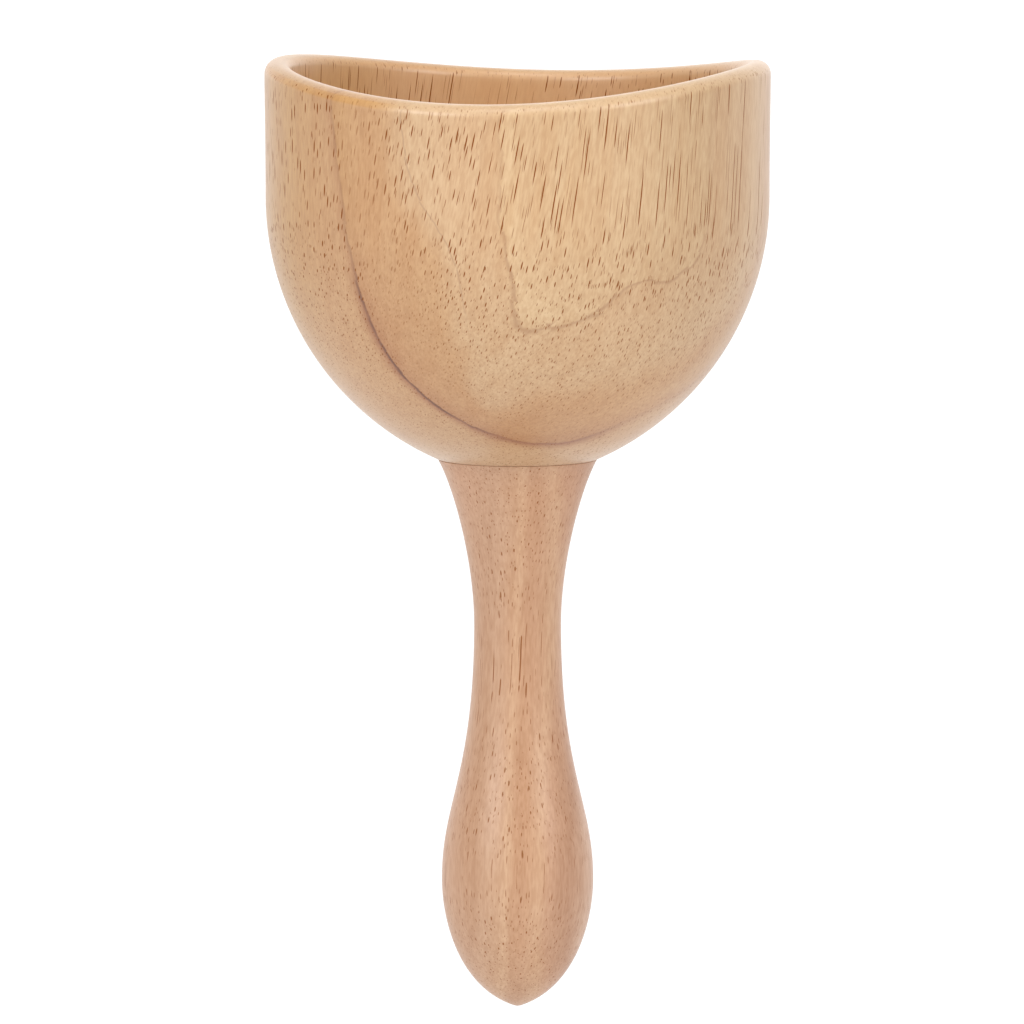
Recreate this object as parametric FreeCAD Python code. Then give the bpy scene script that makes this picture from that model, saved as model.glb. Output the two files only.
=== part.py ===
"""Hand-held wooden suction massage cup: a turned cup with a saddle-shaped rim on a turned handle.

Millimetres. +Z runs along the turning axis, from the handle's tip to the cup's mouth. The origin is on
that axis at the handle's waist, its narrowest section. The saddle of the rim bends about an axis along
Y, so the rim stands highest at +X and -X and lowest at +Y and -Y.
"""
import FreeCAD, Part
import math
import os

# Cup, outside. Heights are above the joint with the handle.
JOINT_RADIUS = 16.45        # cup foot and handle top, flush with each other
BELLY_RADIUS = 52.0         # where the round underside turns into the upright wall
BELLY_HEIGHT = 54.5
MOUTH_RADIUS = 52.5         # the wall flares a little up to here
MOUTH_HEIGHT = 90.0         # height of the turned blank, before the saddle is cut
FLARE_START = 74.0          # the wall is upright up to about here

# Cup, rim
RIM_LOW_HEIGHT = 77.0       # lowest points of the rim, at +Y and -Y
SADDLE_RADIUS = 216.0       # radius of the cylindrical cut across the mouth
OUTER_LIP_ROUND = 2.7
INNER_LIP_ROUND = 2.2

# Cup, inside
BOWL_RADIUS = 46.8          # straight bore that ends in half a sphere
BASE_THICKNESS = 15.0       # wood between the joint and the bottom of the bowl

# Handle, outside. Depths are below the joint, and each "pull" is the length of a curve's tangent arm.
FLARE_SLOPE = 61.6          # degrees below horizontal at which the profile leaves the joint
FLARE_PULL = 7.2
WAIST_RADIUS = 9.0
WAIST_DEPTH = 34.4
WAIST_PULL_UP = 12.6
WAIST_PULL_DOWN = 31.1
BULB_RADIUS = 15.7
BULB_DEPTH = 87.4
BULB_PULL_UP = 15.9
BULB_PULL_DOWN = 7.9
NOSE_PULL = 12.6
NOSE_ANGLE = 70.7           # degrees between the turning axis and the profile where the nose begins
NOSE_RADIUS = 2.5
TIP_DEPTH = 114.1

# Joint: a fluted dowel pin glued into blind bores in both pieces
SEAM_BEVEL = 0.25           # broken edge on both sides of the seam
DOWEL_RADIUS = 4.0
DOWEL_LENGTH = 30.0
DOWEL_CHAMFER = 1.0
DOWEL_IN_CUP = 9.5
BORE_END_GAP = 1.0          # glue space beyond each end of the dowel
FLUTE_COUNT = 16
FLUTE_RADIUS = 0.5
FLUTE_DEPTH = 0.3

JOINT_Z = WAIST_DEPTH       # height of the joint above the origin
SAFE_MARGIN = 1.0           # how far a cutting solid runs past what it cuts


def point(radius, height):
    """A point of a turned profile, height counted from the joint."""
    return FreeCAD.Vector(radius, 0, JOINT_Z + height)


def line(start, end):
    return Part.LineSegment(start, end).toShape()


def arc(start, middle, end):
    return Part.Arc(start, middle, end).toShape()


def bezier(*poles):
    curve = Part.BezierCurve()
    curve.setPoles(list(poles))
    return curve.toShape()


def turned(edges):
    """The solid swept by a closed half-profile that turns about Z."""
    face = Part.Face(Part.Wire(edges))
    return face.revolve(FreeCAD.Vector(0, 0, 0), FreeCAD.Vector(0, 0, 1), 360)


def cylinder(radius, low, high):
    """A cylinder about Z between two heights above the joint."""
    return Part.makeCylinder(radius, high - low, FreeCAD.Vector(0, 0, JOINT_Z + low))


def cup_blank():
    """The turned outside of the cup, solid: foot, one arc up to the belly, wall with a slight flare."""
    overhang = BELLY_RADIUS - JOINT_RADIUS
    arc_radius = (overhang**2 + BELLY_HEIGHT**2) / (2 * overhang)
    half_sweep = math.asin(BELLY_HEIGHT / arc_radius) / 2
    foot_centre = point(0, 0)
    foot_edge = point(JOINT_RADIUS - SEAM_BEVEL, 0)
    arc_start = point(JOINT_RADIUS, SEAM_BEVEL)
    arc_middle = point(BELLY_RADIUS - arc_radius * (1 - math.cos(half_sweep)),
                       BELLY_HEIGHT - arc_radius * math.sin(half_sweep))
    belly = point(BELLY_RADIUS, BELLY_HEIGHT)
    mouth_edge = point(MOUTH_RADIUS, MOUTH_HEIGHT)
    mouth_centre = point(0, MOUTH_HEIGHT)
    return turned([
        line(foot_centre, foot_edge),
        line(foot_edge, arc_start),
        arc(arc_start, arc_middle, belly),
        bezier(belly, point(BELLY_RADIUS, FLARE_START), mouth_edge),
        line(mouth_edge, mouth_centre),
        line(mouth_centre, foot_centre),
    ])


def bowl_space():
    """The hollow of the cup: half a sphere with a straight bore above it."""
    centre_height = BASE_THICKNESS + BOWL_RADIUS
    ball = Part.makeSphere(BOWL_RADIUS, point(0, centre_height))
    return ball.fuse(cylinder(BOWL_RADIUS, centre_height, MOUTH_HEIGHT + SAFE_MARGIN)).removeSplitter()


def saddle_cutter():
    """A large cylinder along Y whose lowest line gives the rim its two low points."""
    half_length = MOUTH_RADIUS + SAFE_MARGIN
    start = FreeCAD.Vector(0, -half_length, JOINT_Z + RIM_LOW_HEIGHT + SADDLE_RADIUS)
    return Part.makeCylinder(SADDLE_RADIUS, 2 * half_length, start, FreeCAD.Vector(0, 1, 0))


def lip_edges(shape, radius):
    """The edges of the saddle cut that run round the mouth at about the given radius."""
    lowest = JOINT_Z + RIM_LOW_HEIGHT - SAFE_MARGIN
    found = []
    for edge in shape.Edges:
        middle = edge.valueAt((edge.FirstParameter + edge.LastParameter) / 2)
        on_radius = abs(math.hypot(middle.x, middle.y) - radius) < SAFE_MARGIN
        if on_radius and edge.BoundBox.ZMin > lowest and edge.Length > MOUTH_RADIUS:
            found.append(edge)
    return found


def make_cup():
    bore = cylinder(DOWEL_RADIUS, -SAFE_MARGIN, DOWEL_IN_CUP + BORE_END_GAP)
    cup = cup_blank().cut(bowl_space()).cut(saddle_cutter()).cut(bore)
    cup = cup.makeFillet(OUTER_LIP_ROUND, lip_edges(cup, MOUTH_RADIUS))
    return cup.makeFillet(INNER_LIP_ROUND, lip_edges(cup, BOWL_RADIUS))


def handle_blank():
    """The turned outside of the handle, solid: flare, waist, bulb and a blunt pointed end."""
    slope = math.radians(FLARE_SLOPE)
    side = math.radians(NOSE_ANGLE)
    top_centre = point(0, 0)
    top_edge = point(JOINT_RADIUS - SEAM_BEVEL, 0)
    flare = point(JOINT_RADIUS, -SEAM_BEVEL)
    flare_arm = point(JOINT_RADIUS - FLARE_PULL * math.cos(slope), -FLARE_PULL * math.sin(slope))
    waist = point(WAIST_RADIUS, -WAIST_DEPTH)
    bulb = point(BULB_RADIUS, -BULB_DEPTH)
    # The nose is an arc about the axis, and the bulb's curve runs into it without a corner.
    nose_centre = NOSE_RADIUS - TIP_DEPTH
    nose_start = point(NOSE_RADIUS * math.cos(side), nose_centre - NOSE_RADIUS * math.sin(side))
    nose_arm = nose_start + FreeCAD.Vector(NOSE_PULL * math.sin(side), 0, NOSE_PULL * math.cos(side))
    half_way = (math.radians(90) + side) / 2
    nose_middle = point(NOSE_RADIUS * math.cos(half_way), nose_centre - NOSE_RADIUS * math.sin(half_way))
    tip = point(0, -TIP_DEPTH)
    return turned([
        line(top_centre, top_edge),
        line(top_edge, flare),
        bezier(flare, flare_arm, point(WAIST_RADIUS, WAIST_PULL_UP - WAIST_DEPTH), waist),
        bezier(waist, point(WAIST_RADIUS, -WAIST_DEPTH - WAIST_PULL_DOWN),
               point(BULB_RADIUS, BULB_PULL_UP - BULB_DEPTH), bulb),
        bezier(bulb, point(BULB_RADIUS, -BULB_DEPTH - BULB_PULL_DOWN), nose_arm, nose_start),
        arc(nose_start, nose_middle, tip),
        line(tip, top_centre),
    ])


def make_handle():
    depth = DOWEL_LENGTH - DOWEL_IN_CUP + BORE_END_GAP
    return handle_blank().cut(cylinder(DOWEL_RADIUS, -depth, SAFE_MARGIN))


def make_joint_dowel():
    """A straight pin with chamfered ends and shallow flutes that let the glue out."""
    top = DOWEL_IN_CUP
    bottom = DOWEL_IN_CUP - DOWEL_LENGTH
    end_radius = DOWEL_RADIUS - DOWEL_CHAMFER
    corners = [
        point(0, bottom),
        point(end_radius, bottom),
        point(DOWEL_RADIUS, bottom + DOWEL_CHAMFER),
        point(DOWEL_RADIUS, top - DOWEL_CHAMFER),
        point(end_radius, top),
        point(0, top),
    ]
    pin = turned([line(a, b) for a, b in zip(corners, corners[1:] + corners[:1])])
    for index in range(FLUTE_COUNT):
        angle = 2 * math.pi * index / FLUTE_COUNT
        reach = DOWEL_RADIUS + FLUTE_RADIUS - FLUTE_DEPTH
        below = JOINT_Z + bottom - SAFE_MARGIN
        start = FreeCAD.Vector(reach * math.cos(angle), reach * math.sin(angle), below)
        pin = pin.cut(Part.makeCylinder(FLUTE_RADIUS, DOWEL_LENGTH + 2 * SAFE_MARGIN, start))
    return pin


NODES = {
    "cup": make_cup,
    "handle": make_handle,
    "joint_dowel": make_joint_dowel,
}

os.makedirs("parts", exist_ok=True)
for name, make in NODES.items():
    shape = make()
    solid = shape.Solids[0]
    box = solid.BoundBox
    print(f"{name}: {len(shape.Solids)} solid, valid {solid.isValid()}, {solid.Volume:.0f} mm3,"
          f" z {box.ZMin:.2f} to {box.ZMax:.2f}, width {box.XLength:.2f} by {box.YLength:.2f}")
    solid.exportStep(f"parts/{name}.step")
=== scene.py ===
import math

import bmesh
import bpy
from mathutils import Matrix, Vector


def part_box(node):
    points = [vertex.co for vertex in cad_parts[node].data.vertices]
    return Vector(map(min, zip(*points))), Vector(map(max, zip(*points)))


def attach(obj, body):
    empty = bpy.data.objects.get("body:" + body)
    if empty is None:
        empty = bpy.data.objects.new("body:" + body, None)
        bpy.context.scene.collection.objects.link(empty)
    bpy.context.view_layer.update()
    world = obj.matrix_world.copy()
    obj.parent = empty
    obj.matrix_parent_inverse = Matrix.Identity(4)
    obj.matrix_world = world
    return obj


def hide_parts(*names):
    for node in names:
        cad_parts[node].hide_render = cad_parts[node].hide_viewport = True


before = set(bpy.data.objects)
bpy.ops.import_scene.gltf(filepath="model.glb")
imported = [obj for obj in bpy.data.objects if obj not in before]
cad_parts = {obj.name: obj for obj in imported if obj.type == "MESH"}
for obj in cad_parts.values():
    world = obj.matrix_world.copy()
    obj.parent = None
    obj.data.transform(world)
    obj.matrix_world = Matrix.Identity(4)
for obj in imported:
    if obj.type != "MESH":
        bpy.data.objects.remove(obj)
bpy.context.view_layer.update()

# Sizes are in millimetres, in the row's frame: +Z along the turning axis, origin at the handle's waist.
MM = 0.001

# Heights of the joint and of the handle's tip, taken from the CAD solids
JOINT_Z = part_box("cup")[0].z / MM
TIP_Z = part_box("handle")[0].z / MM

# Cup, outside; heights are above the joint
JOINT_RADIUS = 16.45
SEAM_BEVEL = 0.1            # finer than the CAD's, which would show as a heavier line than the photo's
BELLY_RADIUS = 52.0
BELLY_HEIGHT = 54.5
MOUTH_RADIUS = 52.5         # of the turned blank, before the saddle is cut
MOUTH_HEIGHT = 90.0

# Cup, rim and inside
RIM_LOW_HEIGHT = 77.0
SADDLE_RADIUS = 216.0
OUTER_LIP_ROUND = 2.7
INNER_LIP_ROUND = 2.2
BOWL_RADIUS = 46.8
BASE_THICKNESS = 15.0

# Handle; depths are below the joint, and each "pull" is the length of a curve's tangent arm
FLARE_SLOPE = math.radians(61.6)
FLARE_PULL = 7.2
WAIST_RADIUS = 9.0
WAIST_DEPTH = 34.4
WAIST_PULL_UP = 12.6
WAIST_PULL_DOWN = 31.1
BULB_RADIUS = 15.7
BULB_DEPTH = 87.4
BULB_PULL_UP = 15.9
BULB_PULL_DOWN = 7.9
NOSE_PULL = 12.6
NOSE_ANGLE = math.radians(70.7)
NOSE_RADIUS = 2.5
TIP_DEPTH = 114.1

# Bores for the dowel, each measured from the joint
BORE_RADIUS = 4.0
BORE_IN_CUP = 10.5
BORE_IN_HANDLE = 21.5

# Camera: where it stands, how wide a picture it takes at the object, and how far it aims off the axis
CAMERA_AZIMUTH = 9.7
CAMERA_ELEVATION = 5.9
CAMERA_DISTANCE = 3000.0
VIEW_WIDTH = 211.8
SENSOR_WIDTH = 36.0
AIM_HEIGHT = 19.4
AIM_LEFT = 1.15
AIM_UP = 3.87

# Brightness of the white surroundings, where 1 is the white of the picture
TENT = 0.5
BEHIND = 1.2                # what the side behind the object has on top of TENT
FLOOR_GLOW = 0.9
FLOOR_GREY = 0.2            # colour of the floor itself

# Floor and lamps, in metres
FLOOR_HALF_WIDTH = 12.0
FLOOR_BELOW_TIP = 0.35
LAMP_DISTANCE = 2.4

# Edges that bend less than this are drawn smooth
SHARP_ANGLE = math.radians(28)


# ---------------------------------------------------------------- camera, lights and stage

def direction(azimuth, elevation):
    """Unit vector from the object towards a place round it, azimuth 0 in front at -Y."""
    a, e = math.radians(azimuth), math.radians(elevation)
    return Vector((math.sin(a) * math.cos(e), -math.cos(a) * math.cos(e), math.sin(e)))


def make_camera():
    """The camera that the photo's outline was fitted to."""
    data = bpy.data.cameras.new("camera")
    data.sensor_width = SENSOR_WIDTH
    data.lens = SENSOR_WIDTH * CAMERA_DISTANCE / VIEW_WIDTH
    data.clip_start = 0.1
    data.clip_end = 100
    camera = bpy.data.objects.new("camera", data)
    bpy.context.scene.collection.objects.link(camera)
    back = direction(CAMERA_AZIMUTH, CAMERA_ELEVATION)
    rotation = back.to_track_quat("Z", "Y")
    aim = Vector((0, 0, AIM_HEIGHT)) + rotation @ Vector((-AIM_LEFT, AIM_UP, 0))
    camera.rotation_mode = "QUATERNION"
    camera.rotation_quaternion = rotation
    camera.location = (aim + back * CAMERA_DISTANCE) * MM
    bpy.context.scene.camera = camera


def softbox(name, azimuth, elevation, size, share):
    """A square area light. share is the brightness that it alone gives a white face turned to it."""
    data = bpy.data.lights.new(name, "AREA")
    data.size = size
    data.energy = share * math.pi**2 * LAMP_DISTANCE**2
    light = bpy.data.objects.new(name, data)
    bpy.context.scene.collection.objects.link(light)
    towards = direction(azimuth, elevation)
    light.location = towards * LAMP_DISTANCE
    light.rotation_mode = "QUATERNION"
    light.rotation_quaternion = towards.to_track_quat("Z", "Y")


def make_world():
    """Soft white light from all round, most of it from behind, and a pure white backdrop to the eye."""
    world = bpy.data.worlds.new("white_tent")
    bpy.context.scene.world = world
    world.use_nodes = True
    nodes, links = world.node_tree.nodes, world.node_tree.links
    nodes.clear()
    backwards = nodes.new("ShaderNodeVectorMath")
    backwards.operation = "DOT_PRODUCT"
    backwards.inputs[1].default_value = direction(CAMERA_AZIMUTH + 180, 0)
    links.new(nodes.new("ShaderNodeTexCoord").outputs["Generated"], backwards.inputs[0])
    strength = nodes.new("ShaderNodeMapRange")
    strength.interpolation_type = "SMOOTHSTEP"
    strength.inputs["To Min"].default_value = TENT
    strength.inputs["To Max"].default_value = TENT + BEHIND
    links.new(backwards.outputs["Value"], strength.inputs["Value"])
    tent = nodes.new("ShaderNodeBackground")
    tent.inputs["Color"].default_value = (1, 1, 1, 1)
    links.new(strength.outputs[0], tent.inputs["Strength"])
    backdrop = nodes.new("ShaderNodeBackground")
    backdrop.inputs["Color"].default_value = (1, 1, 1, 1)
    either = nodes.new("ShaderNodeMixShader")
    links.new(nodes.new("ShaderNodeLightPath").outputs["Is Camera Ray"], either.inputs[0])
    links.new(tent.outputs[0], either.inputs[1])
    links.new(backdrop.outputs[0], either.inputs[2])
    links.new(either.outputs[0], nodes.new("ShaderNodeOutputWorld").inputs[0])


def make_stage():
    """A wide floor well below the tip, which glows so evenly that it reads as plain white."""
    half = FLOOR_HALF_WIDTH
    z = TIP_Z * MM - FLOOR_BELOW_TIP
    mesh = bpy.data.meshes.new("floor")
    corners = [(-half, -half, z), (half, -half, z), (half, half, z), (-half, half, z)]
    mesh.from_pydata(corners, [], [(0, 1, 2, 3)])
    floor = bpy.data.objects.new("floor", mesh)
    bpy.context.scene.collection.objects.link(floor)
    material = bpy.data.materials.new("floor_white")
    material.use_nodes = True
    shader = material.node_tree.nodes["Principled BSDF"]
    shader.inputs["Base Color"].default_value = (FLOOR_GREY, FLOOR_GREY, FLOOR_GREY, 1)
    shader.inputs["Roughness"].default_value = 0.9
    shader.inputs["Emission Color"].default_value = (1, 1, 1, 1)
    shader.inputs["Emission Strength"].default_value = FLOOR_GLOW
    mesh.materials.append(material)


def make_studio():
    make_camera()
    make_world()
    make_stage()
    softbox("key_left", CAMERA_AZIMUTH - 42, elevation=25, size=1.1, share=0.50)
    softbox("key_right", CAMERA_AZIMUTH + 52, elevation=25, size=1.1, share=0.42)
    softbox("top_front", CAMERA_AZIMUTH, elevation=68, size=1.2, share=0.32)
    scene = bpy.context.scene
    scene.view_settings.view_transform = "Standard"
    scene.view_settings.look = "None"


# ---------------------------------------------------------------- turned shapes

def arc_points(centre, radius, start, end, count):
    """Points on an arc in the (radius, height) plane, both ends included."""
    angles = [start + (end - start) * i / count for i in range(count + 1)]
    return [(centre[0] + radius * math.cos(a), centre[1] + radius * math.sin(a)) for a in angles]


def bezier_points(poles, count):
    """Points on a cubic curve, without the first, which ends the stretch of profile before it."""
    points = []
    for i in range(1, count + 1):
        t = i / count
        weights = ((1 - t)**3, 3 * (1 - t)**2 * t, 3 * (1 - t) * t**2, t**3)
        points.append(tuple(sum(w * pole[axis] for w, pole in zip(weights, poles)) for axis in (0, 1)))
    return points


def even_steps(start, end, count):
    """Points on a straight line, without the first."""
    return [(start[0] + (end[0] - start[0]) * i / count, start[1] + (end[1] - start[1]) * i / count)
            for i in range(1, count + 1)]


def turned_piece(name, profile_at, segments):
    """A closed mesh from a half-profile that starts and ends on the axis, height counted from the joint.

    profile_at(angle) gives the profile's points at that angle, always the same number of them."""
    bm = bmesh.new()
    columns = []
    for step in range(segments):
        angle = 2 * math.pi * step / segments
        profile = profile_at(angle)
        columns.append([bm.verts.new((r * math.cos(angle) * MM, r * math.sin(angle) * MM, (JOINT_Z + z) * MM))
                        for r, z in profile[1:-1]])
    first, last = profile_at(0)[0], profile_at(0)[-1]
    start = bm.verts.new((0, 0, (JOINT_Z + first[1]) * MM))
    end = bm.verts.new((0, 0, (JOINT_Z + last[1]) * MM))
    for step in range(segments):
        here, there = columns[step], columns[(step + 1) % segments]
        bm.faces.new((start, here[0], there[0]))
        bm.faces.new((end, there[-1], here[-1]))
        for row in range(len(here) - 1):
            bm.faces.new((here[row], here[row + 1], there[row + 1], there[row]))
    bmesh.ops.recalc_face_normals(bm, faces=bm.faces)
    for face in bm.faces:
        face.smooth = True
    for edge in bm.edges:
        edge.smooth = edge.calc_face_angle() < SHARP_ANGLE
    mesh = bpy.data.meshes.new(name)
    bm.to_mesh(mesh)
    bm.free()
    piece = bpy.data.objects.new(name, mesh)
    bpy.context.scene.collection.objects.link(piece)
    return piece


def wall_radius(height):
    """Outside radius of the cup's upright wall, which flares a little towards the mouth."""
    flare = MOUTH_RADIUS - BELLY_RADIUS
    return BELLY_RADIUS + flare * ((height - BELLY_HEIGHT) / (MOUTH_HEIGHT - BELLY_HEIGHT))**2


def rim_height(x):
    """Height of the saddle cut over a point at x: a cylinder along Y, lowest at x = 0."""
    return RIM_LOW_HEIGHT + SADDLE_RADIUS - math.sqrt(SADDLE_RADIUS**2 - x**2)


def lip_round(wall, inset, radius, angle, count):
    """A rounded lip corner, from the upright wall to where it meets the lip's top.

    inset is the way from the wall into the wood: -1 at the outside of the cup, 1 at its inside."""
    centre_radius = wall + inset * radius
    x = centre_radius * math.cos(angle)
    slope = math.cos(angle) * x / math.sqrt(SADDLE_RADIUS**2 - x**2)
    centre_height = rim_height(x) - math.hypot(radius, radius * slope)
    top = math.atan2(1, -slope)
    start = 0 if inset < 0 else math.pi
    return arc_points((centre_radius, centre_height), radius, start, top, count)


def cup_profile(angle):
    """From the bottom of the dowel's bore out over the foot, up the outside, over the lip, down the bowl."""
    overhang = BELLY_RADIUS - JOINT_RADIUS
    underside_radius = (overhang**2 + BELLY_HEIGHT**2) / (2 * overhang)
    underside_centre = (BELLY_RADIUS - underside_radius, BELLY_HEIGHT)
    foot_angle = -math.asin((BELLY_HEIGHT - SEAM_BEVEL) / underside_radius)
    outer_wall = wall_radius(RIM_LOW_HEIGHT)
    outer_round = lip_round(outer_wall, -1, OUTER_LIP_ROUND, angle, count=10)
    inner_round = lip_round(BOWL_RADIUS, 1, INNER_LIP_ROUND, angle, count=8)[::-1]
    bowl_centre = BASE_THICKNESS + BOWL_RADIUS

    points = [(0, BORE_IN_CUP), (BORE_RADIUS * 0.5, BORE_IN_CUP), (BORE_RADIUS, BORE_IN_CUP)]
    points += even_steps(points[-1], (BORE_RADIUS, 0), count=3)
    points += even_steps(points[-1], (JOINT_RADIUS - SEAM_BEVEL, 0), count=4)
    points += arc_points(underside_centre, underside_radius, foot_angle, 0, count=44)
    wall = even_steps((0, BELLY_HEIGHT), (0, outer_round[0][1]), count=12)
    points += [(min(wall_radius(z), outer_wall), z) for _, z in wall]
    points += outer_round[1:]
    points += even_steps(points[-1], inner_round[0], count=3)
    points += inner_round[1:]
    points += even_steps(points[-1], (BOWL_RADIUS, bowl_centre), count=8)
    points += arc_points((0, bowl_centre), BOWL_RADIUS, 0, -math.pi / 2, count=44)[1:-1]
    points.append((0, BASE_THICKNESS))
    return points


def handle_profile(_):
    """From the bottom of the dowel's bore over the joint's face and down to the tip, alike at all angles."""
    flare = (JOINT_RADIUS, -SEAM_BEVEL)
    flare_arm = (JOINT_RADIUS - FLARE_PULL * math.cos(FLARE_SLOPE), -FLARE_PULL * math.sin(FLARE_SLOPE))
    waist = (WAIST_RADIUS, -WAIST_DEPTH)
    waist_arm_up = (WAIST_RADIUS, WAIST_PULL_UP - WAIST_DEPTH)
    waist_arm_down = (WAIST_RADIUS, -WAIST_DEPTH - WAIST_PULL_DOWN)
    bulb = (BULB_RADIUS, -BULB_DEPTH)
    bulb_arm_up = (BULB_RADIUS, BULB_PULL_UP - BULB_DEPTH)
    bulb_arm_down = (BULB_RADIUS, -BULB_DEPTH - BULB_PULL_DOWN)
    nose = arc_points((0, NOSE_RADIUS - TIP_DEPTH), NOSE_RADIUS, -NOSE_ANGLE, -math.pi / 2, count=5)
    nose_arm = (nose[0][0] + NOSE_PULL * math.sin(NOSE_ANGLE), nose[0][1] + NOSE_PULL * math.cos(NOSE_ANGLE))

    points = [(0, -BORE_IN_HANDLE), (BORE_RADIUS * 0.5, -BORE_IN_HANDLE), (BORE_RADIUS, -BORE_IN_HANDLE)]
    points += even_steps(points[-1], (BORE_RADIUS, 0), count=5)
    points += even_steps(points[-1], (JOINT_RADIUS - SEAM_BEVEL, 0), count=4)
    points.append(flare)
    points += bezier_points([flare, flare_arm, waist_arm_up, waist], count=32)
    points += bezier_points([waist, waist_arm_down, bulb_arm_up, bulb], count=40)
    points += bezier_points([bulb, bulb_arm_down, nose_arm, nose[0]], count=40)
    points += nose[1:-1]
    points.append((0, -TIP_DEPTH))
    return points


# ---------------------------------------------------------------- wood

def srgb(red, green, blue):
    """A screen colour, 0 to 255, as the linear colour that a shader takes."""
    def linear(value):
        value /= 255
        return value / 12.92 if value <= 0.04045 else ((value + 0.055) / 1.055)**2.4
    return (linear(red), linear(green), linear(blue), 1)


class Graph:
    """Short calls that build one material's nodes. Each returns the socket or sockets of its result."""

    def __init__(self, name):
        self.material = bpy.data.materials.new(name)
        self.material.use_nodes = True
        self.tree = self.material.node_tree
        self.tree.nodes.clear()

    def add(self, kind, inputs, output=0, **settings):
        """Any node. An input takes a socket or a plain value, and settings are the node's own attributes."""
        node = self.tree.nodes.new("ShaderNode" + kind)
        for key, value in settings.items():
            setattr(node, key, value)
        for socket, value in inputs.items():
            if isinstance(value, bpy.types.NodeSocket):
                self.tree.links.new(value, node.inputs[socket])
            else:
                node.inputs[socket].default_value = value
        return node.outputs[output]

    def math(self, operation, a, b=0.0, c=0.0):
        return self.add("Math", {0: a, 1: b, 2: c}, operation=operation)

    def product(self, first, *others):
        for other in others:
            first = self.math("MULTIPLY", first, other)
        return first

    def vector(self, operation, a, b=(0, 0, 0), c=(0, 0, 0)):
        return self.add("VectorMath", {0: a, 1: b, 2: c}, operation=operation)

    def scaled(self, vector, factor):
        return self.add("VectorMath", {0: vector, "Scale": factor}, operation="SCALE")

    def split(self, vector):
        node = self.tree.nodes.new("ShaderNodeSeparateXYZ")
        self.tree.links.new(vector, node.inputs[0])
        return node.outputs

    def join(self, x, y, z):
        return self.add("CombineXYZ", {0: x, 1: y, 2: z})

    def fade(self, value, low, high, to_low=0.0, to_high=1.0):
        """Runs smoothly from to_low to to_high as value goes from low to high."""
        inputs = {"Value": value, "From Min": low, "From Max": high, "To Min": to_low, "To Max": to_high}
        return self.add("MapRange", inputs, interpolation_type="SMOOTHSTEP")

    def noise(self, position, size, detail, output="Fac"):
        """Noise whose blobs are about size wide, in the units of position."""
        inputs = {"Vector": position, "Scale": 1 / size, "Detail": detail}
        return self.add("TexNoise", inputs, output)

    def mix(self, factor, a, b, blend="MIX"):
        return self.add("Mix", {0: factor, 6: a, 7: b}, 2, data_type="RGBA", blend_type=blend)

    def ramp(self, value, stops):
        """A colour for each value: stops are (value, colour) pairs in rising order."""
        low, high = stops[0][0], stops[-1][0]
        place = self.add("MapRange", {"Value": value, "From Min": low, "From Max": high})
        node = self.tree.nodes.new("ShaderNodeValToRGB")
        self.tree.links.new(place, node.inputs[0])
        elements = node.color_ramp.elements
        while len(elements) < len(stops):
            elements.new(0.5)
        for element, (at, colour) in zip(elements, stops):
            element.position = (at - low) / (high - low)
            element.color = colour
        return node.outputs[0]


# Vessels and the gaps between them are this much longer towards the pith than round it
RADIAL_STRETCH = 1.7
PORE_DIP = 0.04             # depth of the lacquer's dip over a pore, before the bump's strength of 0.3


def grain_space(graph, position, lean_x, lean_y, pivot, wander, kink):
    """Position moved so that the wood's fibres run straight along its third axis, in millimetres.

    The fibres lean by lean_x and lean_y per height, about the height of the pivot. A slow wave moves them
    aside by about wander, and a quick one by about kink."""
    _, _, z = graph.split(position)
    height = graph.math("SUBTRACT", pivot, z)
    shift = graph.join(graph.product(height, lean_x), graph.product(height, lean_y), 0.0)
    upright = graph.vector("ADD", position, shift)
    slow = graph.noise(graph.vector("MULTIPLY", position, (1, 1, 0.6)), size=42, detail=0, output="Color")
    quick = graph.noise(graph.vector("MULTIPLY", position, (0.3, 0.3, 1)), size=9, detail=0, output="Color")
    moved = graph.vector("MULTIPLY_ADD", slow, (wander, wander, 0), upright)
    return graph.vector("MULTIPLY_ADD", quick, (kink, kink, 0), moved)


def vessels(graph, grain, pith, spacing, radius, share, length, shift):
    """Dark tubes along the fibres, cut open where the surface crosses them: 1 inside a tube, 0 in the wood.

    A tube is an ellipse across the fibres, drawn out towards the pith, as rows of vessels are. There is one
    in each patch of spacing by RADIAL_STRETCH spacings, open over stretches of about length, and share of
    them are there at all. Another shift gives another set of tubes."""
    x, y, z = graph.split(grain)
    turn = math.atan2(-pith[0], pith[1])
    outwards = graph.math("MULTIPLY_ADD", x, math.sin(turn), graph.product(y, -math.cos(turn)))
    around = graph.math("MULTIPLY_ADD", x, math.cos(turn), graph.product(y, math.sin(turn)))
    place = graph.join(graph.math("MULTIPLY_ADD", outwards, 1 / RADIAL_STRETCH, shift), around, 0.0)
    node = graph.tree.nodes.new("ShaderNodeTexVoronoi")
    node.voronoi_dimensions = "2D"
    node.inputs["Scale"].default_value = 1 / spacing
    graph.tree.links.new(place, node.inputs["Vector"])
    luck, size, phase = graph.split(node.outputs["Color"])

    # Each tube reads the noise along a line of its own, so it is open at heights of its own
    along = graph.join(graph.product(phase, 400.0), graph.product(luck, 300.0), z)
    is_open = graph.fade(graph.noise(along, length, detail=1), 0.40, 0.48)
    exists = graph.fade(luck, 1 - share, 1.02 - share)
    typical = radius / spacing
    reach = graph.product(is_open, exists, graph.fade(size, 0, 1, 0.6 * typical, 1.3 * typical))

    # A little is added because a tube that is not there has no reach to divide by
    nearness = graph.math("DIVIDE", node.outputs["Distance"], graph.math("ADD", reach, 1e-4))
    return graph.fade(nearness, 1.1, 0.6)


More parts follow.
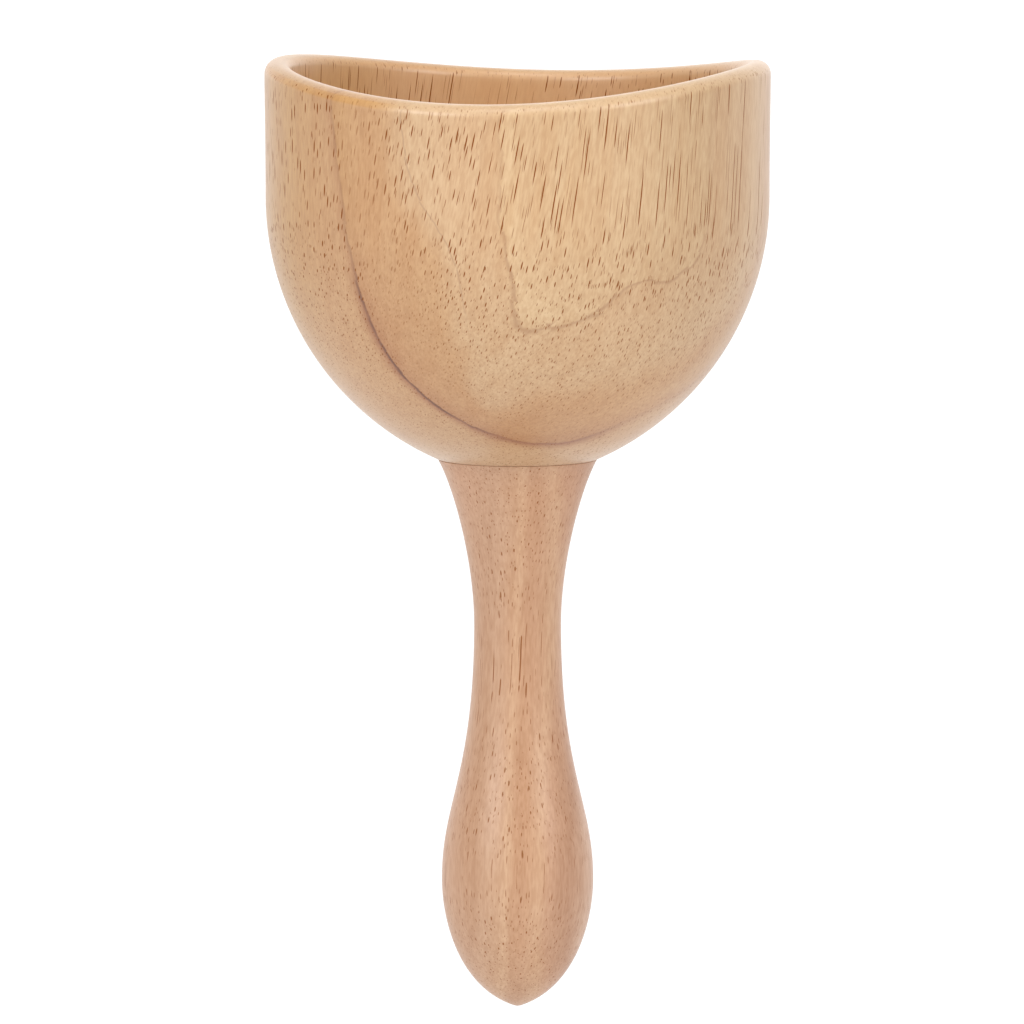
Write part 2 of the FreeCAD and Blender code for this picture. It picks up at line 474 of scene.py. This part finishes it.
def distance_from_pith(graph, position, pith, wobble):
    """Distance from the pith, given as its x and y, with the small waves and jogs that every ring has."""
    x, y, _ = graph.split(position)
    across = graph.add("VectorMath", {0: graph.join(x, y, 0.0), 1: (pith[0], pith[1], 0)}, "Value",
                       operation="DISTANCE")
    waves = graph.noise(position, size=5, detail=2)
    jogs, _, _ = graph.split(graph.add("TexVoronoi", {"Vector": position, "Scale": 1 / 3.5}, "Color"))
    across = graph.math("MULTIPLY_ADD", graph.math("SUBTRACT", waves, 0.5), wobble, across)
    return graph.math("MULTIPLY_ADD", graph.math("SUBTRACT", jogs, 0.5), 0.5 * wobble, across)


def beyond_ring(graph, position, across, at, swells):
    """How far a place lies beyond the ring whose distance from the pith is at.

    Each swell, ((x, z), reach, height), pushes the ring away from the pith round that x and z."""
    x, _, z = graph.split(position)
    beyond = graph.math("SUBTRACT", across, at)
    for place, reach, height in swells:
        away = graph.add("VectorMath", {0: graph.join(x, 0.0, z), 1: (place[0], 0, place[1])}, "Value",
                         operation="DISTANCE")
        square = graph.math("POWER", graph.math("DIVIDE", away, reach), 2.0)
        bump = graph.math("EXPONENT", graph.product(square, -1.0))
        beyond = graph.math("MULTIPLY_ADD", bump, -height, beyond)
    return beyond


def ring_line(graph, beyond, inside, outside, strength):
    """A late-wood line round a ring: it fades out over the stretch inside the ring and the one outside."""
    return graph.product(graph.fade(beyond, -inside, 0), graph.fade(beyond, outside, 0), strength)


def tinted(graph, colour, factor, by):
    """The colour multiplied by another, as far as factor says."""
    return graph.mix(factor, colour, by, "MULTIPLY")


def lacquered(graph, colour, pores, flecks, coat):
    """A thin satin lacquer over the wood, which sinks a little into the open pores and leaves them dull."""
    relief = graph.math("MULTIPLY_ADD", flecks, 0.15, graph.product(pores, -1.0))
    normal = graph.add("Bump", {"Strength": 0.3, "Distance": PORE_DIP * MM, "Height": relief})
    shine = graph.math("SUBTRACT", 1.0, pores)
    surface = graph.add("BsdfPrincipled", {
        "Base Color": colour,
        "Normal": normal,
        "Roughness": 0.5,
        "IOR": 1.5,
        "Specular IOR Level": graph.product(shine, 0.5),
        "Coat Weight": graph.product(shine, coat),
        "Coat Roughness": 0.28,
        "Coat IOR": 1.5,
        "Sheen Weight": 0.12,
        "Sheen Roughness": 0.3,
    })
    out = graph.tree.nodes.new("ShaderNodeOutputMaterial")
    graph.tree.links.new(surface, out.inputs["Surface"])
    return graph.material


def streaked(graph, position, grain, tint, bands):
    """Adds a slow drift, broad bands, fine streaks and short flecks. Returns the tint and the flecks.

    Positions are squeezed along the fibres, which draws the noise out that way."""
    drift = graph.noise(graph.vector("MULTIPLY", position, (1, 1, 0.45)), size=26, detail=1)
    tint = tinted(graph, tint, graph.fade(drift, 0.35, 0.7, 0, 0.35), (1.0, 0.95, 0.92, 1))
    band = graph.noise(graph.vector("MULTIPLY", grain, (1, 1, 0.05)), size=4.5, detail=1)
    tint = tinted(graph, tint, graph.fade(band, 0.42, 0.68, 0, bands), (0.93, 0.86, 0.78, 1))
    streaks = graph.noise(graph.vector("MULTIPLY", grain, (1, 1, 0.03)), size=1.3, detail=2)
    tint = tinted(graph, tint, graph.fade(streaks, 0.4, 0.75, 0, 0.5), (0.88, 0.83, 0.78, 1))
    flecks = graph.noise(graph.vector("MULTIPLY", grain, (1, 1, 0.16)), size=0.45, detail=2)
    return tinted(graph, tint, graph.fade(flecks, 0.3, 0.7, 0, 1), (0.88, 0.82, 0.76, 1)), flecks


def millimetres(graph):
    """Where a point of the surface is, in millimetres from the origin."""
    return graph.scaled(graph.add("TexCoord", {}, "Object"), 1 / MM)


def cup_rings(graph, position, pith):
    """How far a place lies beyond each of the three rings that show as nested arches on the front.

    The pith is behind the cup, so the outer arch is the ring that lies nearest to the pith."""
    across = distance_from_pith(graph, position, pith, wobble=0.5)
    outer = beyond_ring(graph, position, across, 158.9, [((-18, 82), 22, 4.5), ((28, 50), 14, 6)])
    middle = beyond_ring(graph, position, across, 172.0,
                         [((-11, 78), 14, 6), ((0, 50), 6.5, -6), ((26, 68), 19, 5.5)])
    inner = beyond_ring(graph, position, across, 181.6, [((5, 60), 12, -4.5), ((31, 73), 7, 2)])
    return outer, middle, inner


def cup_ground(graph, position, rings):
    """The wood's tints, changing at each ring and at the cup's left and right; near the foot, partly painted
    light.
    """
    outer, middle, inner = rings
    x, _, z = graph.split(position)
    tint = graph.mix(graph.fade(x, -30, -46), srgb(184, 145, 104), srgb(178, 137, 84))
    golden = graph.mix(graph.fade(x, -24, -34), srgb(187, 147, 104), srgb(186, 147, 98))
    tint = graph.mix(graph.fade(outer, -0.5, 0.5), tint, golden)
    tint = graph.mix(graph.fade(middle, -4, 0.3), tint, srgb(194, 161, 123))
    tint = graph.mix(graph.fade(inner, -0.5, 0.2), tint, srgb(195, 163, 124))
    beyond_inner = graph.math("SUBTRACT", inner, 0.5)
    edging = ring_line(graph, beyond_inner, inside=0.5, outside=0.9, strength=graph.fade(x, 24, 14, 0, 0.6))
    tint = graph.mix(edging, tint, srgb(204, 175, 136))
    tint = tinted(graph, tint, graph.fade(x, 26, 46), (0.905, 0.91, 0.9, 1))
    # Paler near the foot: partly the wood's own paler strip, partly painted light that lifts the shade beside
    # the seam
    return graph.mix(graph.fade(z, JOINT_Z + 7, JOINT_Z + 1.5, 0, 0.5), tint, srgb(198, 167, 134))


def with_outer_line(graph, position, tint, outer):
    """The outer arch's line, bold low on the left of the cup and fading upwards and to the right."""
    x, _, z = graph.split(position)
    low = graph.product(graph.fade(z, JOINT_Z + 50, JOINT_Z + 30, 0.22, 1), graph.fade(x, 30, 12, 0.15, 1))
    broad = ring_line(graph, outer, inside=2.5, outside=15, strength=low)
    tint = tinted(graph, tint, broad, (0.92, 0.85, 0.81, 1))
    nearly_even = graph.math("MULTIPLY_ADD", low, 0.6, 0.35)
    halo = ring_line(graph, outer, inside=2.5, outside=3.5, strength=nearly_even)
    tint = tinted(graph, tint, halo, (0.89, 0.82, 0.78, 1))
    edge = ring_line(graph, outer, inside=1.5, outside=0.4, strength=low)
    tint = tinted(graph, tint, edge, (0.80, 0.68, 0.66, 1))
    uneven = graph.fade(graph.noise(position, size=6, detail=1), 0.35, 0.6, 0.55, 1)
    bold = graph.product(low, uneven, graph.fade(x, 2, -9, 0.25, 0.95))
    line = ring_line(graph, outer, inside=0.55, outside=0.28, strength=bold)
    return graph.mix(line, tint, srgb(92, 48, 26))


def with_inner_lines(graph, position, tint, middle, inner):
    """The thin lines of the other two arches, fainter on the right.

    The middle one also fades downwards, and the inner one upwards."""
    x, _, z = graph.split(position)
    faint = graph.product(graph.fade(x, 36, 26, 0.1, 0.3), graph.fade(z, JOINT_Z + 28, JOINT_Z + 44, 0.15, 1))
    line = ring_line(graph, middle, inside=0.22, outside=0.15, strength=faint)
    tint = graph.mix(line, tint, srgb(120, 84, 62))
    thin = graph.product(graph.fade(x, 48, 42, 0, 0.45), graph.fade(z, JOINT_Z + 66, JOINT_Z + 40, 0.4, 1))
    line = ring_line(graph, inner, inside=0.25, outside=0.15, strength=thin)
    return graph.mix(line, tint, srgb(140, 94, 58))


def depth_below_rim(graph, position):
    """How far a place lies under the saddle cut, whose height is taken as a parabola over x."""
    x, _, z = graph.split(position)
    rise = graph.product(graph.product(x, x), 0.5 / SADDLE_RADIUS)
    return graph.math("SUBTRACT", graph.math("ADD", rise, JOINT_Z + RIM_LOW_HEIGHT), z)


def cup_pores(graph, position, grain, pith, rings, below_rim):
    """Large and small pores. They show less between the outer two arches, low on the cup and on the lip."""
    outer, middle, _ = rings
    x, _, z = graph.split(position)
    few = graph.product(graph.fade(outer, 0, 2), graph.fade(middle, -2, -7))
    shown = graph.product(graph.math("MULTIPLY_ADD", few, -0.5, 1.0),
                          graph.fade(z, JOINT_Z + 18, JOINT_Z + 46, 0.6, 1),
                          graph.fade(below_rim, 0.3, 1.6, 0.25, 1),
                          graph.fade(x, -25, 15, 0.92, 1))
    large = vessels(graph, grain, pith, spacing=0.6, radius=0.112, share=0.7, length=20, shift=0.0)
    small = vessels(graph, grain, pith, spacing=0.42, radius=0.075, share=0.6, length=9, shift=37.0)
    return graph.product(graph.math("MAXIMUM", large, graph.product(small, 0.6)), shown)


def with_painted_lip_and_bowl_light(graph, position, tint, pores, pore_colour, below_rim):
    """Painted sheen on the lip, painted bounce light in the bowl, and a golden band at the lip's front left.
    """
    x, y, z = graph.split(position)
    # Painted highlight: the lip is made paler where the sheen of light lies on it
    lip_sheen = graph.product(graph.fade(below_rim, 3.2, 1.4), graph.fade(x, -38, -8, 0.08, 0.33))
    tint = graph.mix(lip_sheen, tint, srgb(206, 176, 138))
    radius = graph.math("SQRT", graph.math("MULTIPLY_ADD", x, x, graph.product(y, y)))
    # Painted bounce light: the bowl's inside is made warmer and more saturated, standing in for light bounced
    # between its walls
    inside = graph.product(graph.fade(radius, BOWL_RADIUS + 1.5, BOWL_RADIUS + 0.3, 0, 0.45),
                           graph.fade(z, JOINT_Z + 45, JOINT_Z + 55))
    tint = graph.mix(inside, tint, graph.mix(pores, srgb(206, 160, 112), pore_colour))
    # The golden band: partly the end grain's deeper colour, partly painted light, as it is painted only at
    # the front left, where the lip's sheen is weakest
    band = graph.product(graph.fade(below_rim, 0.7, 1.1), graph.fade(below_rim, 2.6, 2.0))
    front_left = graph.product(graph.fade(x, -14, -24), graph.fade(y, -2, -14))
    return tinted(graph, tint, graph.product(band, front_left), (1.0, 0.9, 0.62, 1))


def cup_wood():
    """Rubberwood, its rings seen as nested arches on the front, where they also split the cup's tints."""
    graph = Graph("cup_wood")
    position = millimetres(graph)
    x, _, _ = graph.split(position)
    pith = (-71, 113)
    pore_colour = srgb(118, 60, 12)
    lean_x = graph.product(graph.fade(x, -45, -15, 0.06, 0.17), graph.fade(x, 0, 46, 1, 0.2))
    lean_y = graph.fade(x, -50, 0, 0.035, 0.083)
    grain = grain_space(graph, position, lean_x, lean_y, pivot=JOINT_Z + 55, wander=0.7, kink=0.06)
    rings = cup_rings(graph, position, pith)
    outer, middle, inner = rings
    below_rim = depth_below_rim(graph, position)
    tint, flecks = streaked(graph, position, grain, cup_ground(graph, position, rings), bands=0.5)
    tint = with_outer_line(graph, position, tint, outer)
    tint = with_inner_lines(graph, position, tint, middle, inner)
    pores = cup_pores(graph, position, grain, pith, rings, below_rim)
    tint = graph.mix(pores, tint, pore_colour)
    tint = with_painted_lip_and_bowl_light(graph, position, tint, pores, pore_colour, below_rim)
    return lacquered(graph, tint, pores, flecks, coat=0.45)


def handle_wood():
    """The same timber cut from another block: its rings run nearly straight down the handle as stripes."""
    graph = Graph("handle_wood")
    position = millimetres(graph)
    pith = (-147.7, -26.4)
    grain = grain_space(graph, position, lean_x=0.04, lean_y=0.04, pivot=0.0, wander=1.5, kink=0.2)
    across = distance_from_pith(graph, grain, pith, wobble=1.2)
    tint = graph.ramp(across, [
        (138, srgb(184, 144, 115)), (144.8, srgb(182, 144, 115)), (147, srgb(186, 149, 120)),
        (149.8, srgb(186, 148, 117)), (151.2, srgb(192, 155, 123)), (152.8, srgb(182, 141, 109)),
        (155, srgb(184, 143, 111)), (158, srgb(192, 154, 122)), (160, srgb(184, 143, 113)),
        (164, srgb(173, 131, 102)), (167, srgb(186, 149, 123)),
    ])
    tint, flecks = streaked(graph, position, grain, tint, bands=0.4)
    large = vessels(graph, grain, pith, spacing=0.8, radius=0.09, share=0.7, length=5, shift=0.0)
    small = vessels(graph, grain, pith, spacing=0.38, radius=0.06, share=0.75, length=4, shift=37.0)
    pores = graph.math("MAXIMUM", graph.product(large, 0.8), graph.product(small, 0.6))
    return lacquered(graph, graph.mix(pores, tint, srgb(124, 68, 26)), pores, flecks, coat=0.2)


def dowel_wood():
    """Plain beech, straight-grained: the pin is hidden in its bores."""
    graph = Graph("dowel_wood")
    position = millimetres(graph)
    grain = grain_space(graph, position, lean_x=0.02, lean_y=0.03, pivot=0.0, wander=0.5, kink=0.1)
    tint, flecks = streaked(graph, position, grain, srgb(190, 150, 112), bands=0.3)
    pores = vessels(graph, grain, (60, 60), spacing=0.5, radius=0.05, share=0.5, length=3, shift=0.0)
    tint = graph.mix(graph.product(pores, 0.4), tint, srgb(140, 98, 68))
    return lacquered(graph, tint, pores, flecks, coat=0.0)


# ---------------------------------------------------------------- the object

def add_piece(name, profile_at, segments, material, node):
    """A turned piece that takes the place of a CAD node and rides on the object's one body."""
    piece = turned_piece(name, profile_at, segments)
    piece.data.materials.append(material)
    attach(piece, "root")
    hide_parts(node)


make_studio()
add_piece("turned_cup", cup_profile, 192, cup_wood(), "cup")
add_piece("turned_handle", handle_profile, 128, handle_wood(), "handle")

# The dowel is hidden, so it keeps its CAD shape and only gets a material
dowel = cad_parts["joint_dowel"]
dowel.data.materials.clear()
dowel.data.materials.append(dowel_wood())
